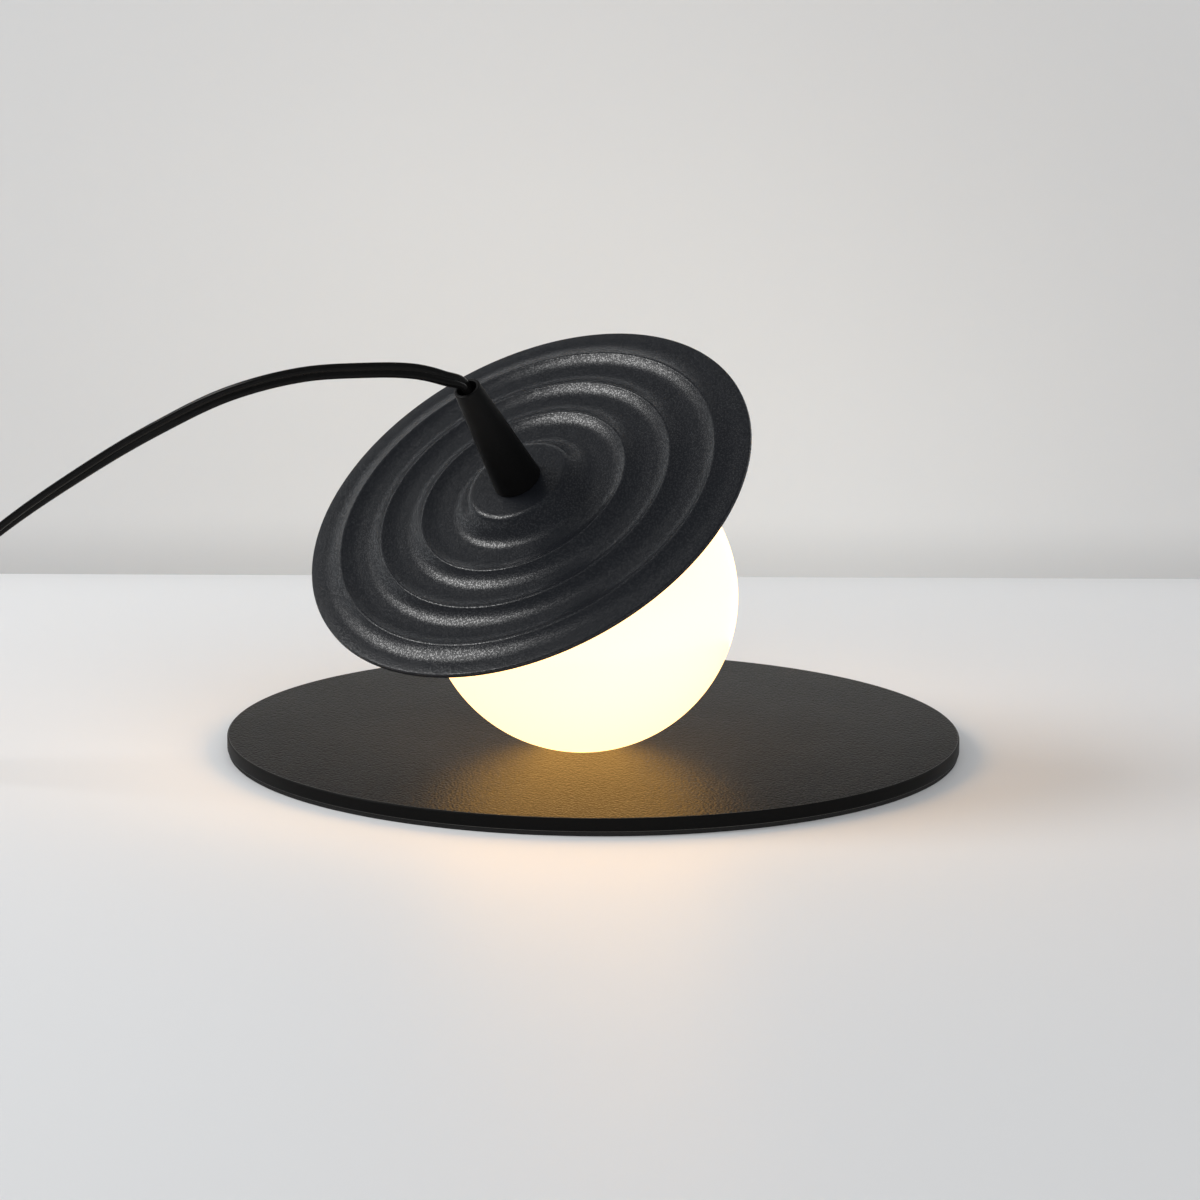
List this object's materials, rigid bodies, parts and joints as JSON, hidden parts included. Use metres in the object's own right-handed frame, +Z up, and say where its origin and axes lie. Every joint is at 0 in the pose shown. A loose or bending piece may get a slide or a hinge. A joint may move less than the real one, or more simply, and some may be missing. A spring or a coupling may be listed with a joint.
{
  "type": "table lamp",
  "caption": "Table lamp with an opal globe under a rippled disc shade that leans in a seat on a flat round base, with a cord cone and an in-line switch.",
  "frame": {"origin": "centre of the round base's underside, on the table", "axes": "+Z up; +Y to the back, away from the viewer of the picture; +X to the viewer's right, with the cord leaving to -X"},
  "size_m": [0.508, 0.3242, 0.1679],
  "materials": {
    "plate_paint": "fine textured satin paint, charcoal",
    "pad_rubber": "matt black foam rubber",
    "seat_rubber": "matt black rubber",
    "opal_glass": "satin opal, lit from inside",
    "gasket_rubber": "pale silicone rubber",
    "shade_coat": "dark charcoal powder coat with a fine pebble",
    "zinc_steel": "bright zinc",
    "brass": "plain turned brass",
    "cone_plastic": "satin black",
    "grip_plastic": "natural nylon",
    "holder_ceramic": "off-white, heat resistant",
    "cap_ceramic": "white",
    "bulb_cover": "frosted, lit",
    "led_board": "light strip with yellow emitters",
    "lead_wire": "insulated wire",
    "cord_vinyl": "glossy black flat twin cord",
    "switch_plastic": "satin black",
    "rocker_plastic": "black",
    "tie_plastic": "black woven strap",
    "plug_plastic": "moulded black vinyl"
  },
  "bodies": {
    "base": {"base_plate": "plate_paint", "base_pad": "pad_rubber"},
    "lead_set": {"seat_ring": "seat_rubber", "cord_arch": "cord_vinyl", "switch_base": "switch_plastic", "switch_cover": "switch_plastic", "rocker_axle": "zinc_steel", "switch_terminals": "brass", "switch_contact": "brass", "switch_leads": "cord_vinyl", "switch_screws": "zinc_steel", "cord_run": "cord_vinyl", "cord_coil": "cord_vinyl", "coil_tie": "tie_plastic", "cord_tail": "cord_vinyl", "plug_relief": "plug_plastic", "plug_body": "plug_plastic", "plug_blades": "zinc_steel"},
    "head": {"globe": "opal_glass", "globe_gasket": "gasket_rubber", "shade_disc": "shade_coat", "gallery_ring": "zinc_steel", "holder_bracket": "zinc_steel", "bracket_screws": "zinc_steel", "lampholder_body": "holder_ceramic", "lampholder_contacts": "brass", "bulb_cap": "cap_ceramic", "bulb_pins": "zinc_steel", "bulb_envelope": "bulb_cover", "bulb_light_strip": "led_board", "threaded_nipple": "brass", "nipple_nut": "brass", "lock_washer": "zinc_steel", "cord_cone": "cone_plastic", "cord_grip": "grip_plastic", "cord_in_cone": "cord_vinyl", "holder_leads": "lead_wire"},
    "rocker": {"switch_rocker": "rocker_plastic"}
  },
  "joints": [
    {"name": "head_turn", "type": "hinge", "parent": "base", "child": "lead_set", "pos_m": [-0.0049, -0.0253, 0.007], "axis": [0, 0, 1], "range_deg": [-90, 90]},
    {"name": "head_tilt", "type": "hinge", "parent": "lead_set", "child": "head", "pos_m": [-0.0049, -0.0253, 0.0657], "axis": [0.7727, -0.6347, 0], "range_deg": [-37.5, 4], "deforming": ["cord_arch"]},
    {"name": "rocker_press", "type": "hinge", "parent": "lead_set", "child": "rocker", "pos_m": [-0.355, 0.063, 0.0096], "axis": [1, 0, 0], "range_deg": [0, 16]}
  ]
}
